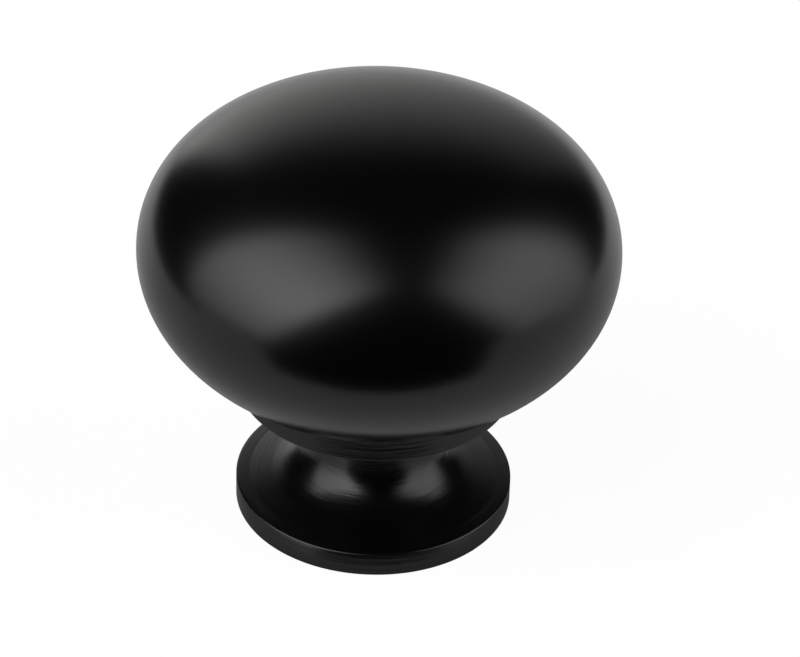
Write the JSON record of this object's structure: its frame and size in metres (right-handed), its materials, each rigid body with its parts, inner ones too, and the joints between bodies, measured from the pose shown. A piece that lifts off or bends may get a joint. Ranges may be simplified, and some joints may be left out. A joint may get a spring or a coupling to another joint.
{
  "type": "cabinet knob",
  "caption": "Round one-piece cabinet knob in satin black: flattened ball head, short collar, hollowed waist and disc foot with a tapped blind hole.",
  "frame": {"origin": "centre of the flat face that meets the door or drawer front", "axes": "+Z along the knob's axis, from the door face out to the crown; the knob is round, so X and Y are alike"},
  "size_m": [0.0318, 0.0318, 0.0293],
  "materials": {
    "black_enamel": "satin black enamel on zinc alloy"
  },
  "bodies": {
    "root": {"knob": "black_enamel"}
  },
  "joints": []
}
